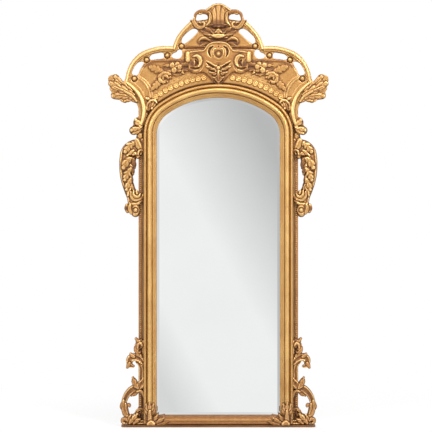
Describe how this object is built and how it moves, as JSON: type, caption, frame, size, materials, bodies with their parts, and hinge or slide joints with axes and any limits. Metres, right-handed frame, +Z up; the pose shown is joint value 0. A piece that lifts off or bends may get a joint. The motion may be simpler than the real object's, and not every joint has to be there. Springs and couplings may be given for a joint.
{
  "type": "pier mirror",
  "caption": "Tall gilt pier mirror with an arched bevelled glass, pierced carved crest, leafy side brackets and corners, a low plinth, turn-buttons and swinging hanger rings on its back.",
  "frame": {"origin": "on the plinth's underside, at mid width, below the silvered back face of the glass", "axes": "+X to the viewer's right, +Y from the viewer to the wall, +Z up"},
  "size_m": [1.1058, 0.092, 2.121],
  "materials": {
    "gilt": "worn gold leaf over red bole and gesso, dark in the recesses",
    "bare_wood": "unfinished softwood",
    "silvered_glass": "clear bevelled glass, silvered on its back",
    "steel": "zinc plated",
    "brass": "dull brass",
    "felt": "dense felt"
  },
  "bodies": {
    "frame": {"moulding_left": "gilt", "moulding_right": "gilt", "moulding_foot": "gilt", "arch_haunch_left": "gilt", "arch_haunch_right": "gilt", "arch_crown": "gilt", "bead_strip_left": "gilt", "bead_strip_right": "gilt", "plinth": "gilt", "crest_board": "gilt", "gallery_pearls": "gilt", "cartouche": "gilt", "cartouche_boss": "gilt", "cartouche_rolls": "gilt", "coin_band": "gilt", "lobe_rail_left": "gilt", "lobe_rail_right": "gilt", "side_scroll_left": "gilt", "side_scroll_right": "gilt", "leaf_spray_left": "gilt", "leaf_spray_right": "gilt", "wing_leaf_left": "gilt", "wing_leaf_right": "gilt", "top_rails": "gilt", "ring_scrolls": "gilt", "rail_leaves": "gilt", "crest_plume": "gilt", "garland_bracket_left": "gilt", "garland_bracket_right": "gilt", "corner_scroll_left": "gilt", "corner_scroll_right": "gilt", "corner_leaves": "gilt", "backing_stile_left": "bare_wood", "backing_stile_right": "bare_wood", "backing_foot_rail": "bare_wood", "head_board": "bare_wood", "crest_batten": "bare_wood", "frame_dowels": "bare_wood", "packing_left": "bare_wood", "packing_right": "bare_wood", "packing_foot": "bare_wood", "packing_arch": "bare_wood", "backboard_lower": "bare_wood", "backboard_upper": "bare_wood", "plinth_screws": "steel", "turn_button_screws": "steel", "hanger_strap_left": "steel", "hanger_strap_right": "steel", "hanger_screws": "steel", "mirror_glass": "silvered_glass", "wall_pads": "felt"},
    "turn_button_left_1": {"turn_button_left_1": "brass"},
    "turn_button_left_2": {"turn_button_left_2": "brass"},
    "turn_button_left_3": {"turn_button_left_3": "brass"},
    "hanger_ring_left": {"hanger_ring_left": "steel"},
    "turn_button_right_1": {"turn_button_right_1": "brass"},
    "turn_button_right_2": {"turn_button_right_2": "brass"},
    "turn_button_right_3": {"turn_button_right_3": "brass"},
    "hanger_ring_right": {"hanger_ring_right": "steel"}
  },
  "joints": [
    {"name": "turn_button_left_1_turn", "type": "hinge", "parent": "frame", "child": "turn_button_left_1", "pos_m": [-0.338, 0.0203, 0.2155], "axis": [0, 1, 0], "continuous": true},
    {"name": "turn_button_left_2_turn", "type": "hinge", "parent": "frame", "child": "turn_button_left_2", "pos_m": [-0.338, 0.0203, 0.6676], "axis": [0, 1, 0], "continuous": true},
    {"name": "turn_button_left_3_turn", "type": "hinge", "parent": "frame", "child": "turn_button_left_3", "pos_m": [-0.338, 0.0203, 1.0786], "axis": [0, 1, 0], "continuous": true},
    {"name": "hanger_ring_left_swing", "type": "hinge", "parent": "frame", "child": "hanger_ring_left", "pos_m": [-0.361, 0.0224, 1.29], "axis": [1, 0, 0], "range_deg": [0, 180]},
    {"name": "turn_button_right_1_turn", "type": "hinge", "parent": "frame", "child": "turn_button_right_1", "pos_m": [0.338, 0.0203, 0.2155], "axis": [0, 1, 0], "continuous": true},
    {"name": "turn_button_right_2_turn", "type": "hinge", "parent": "frame", "child": "turn_button_right_2", "pos_m": [0.338, 0.0203, 0.6676], "axis": [0, 1, 0], "continuous": true},
    {"name": "turn_button_right_3_turn", "type": "hinge", "parent": "frame", "child": "turn_button_right_3", "pos_m": [0.338, 0.0203, 1.0786], "axis": [0, 1, 0], "continuous": true},
    {"name": "hanger_ring_right_swing", "type": "hinge", "parent": "frame", "child": "hanger_ring_right", "pos_m": [0.361, 0.0224, 1.29], "axis": [1, 0, 0], "range_deg": [0, 180]}
  ]
}
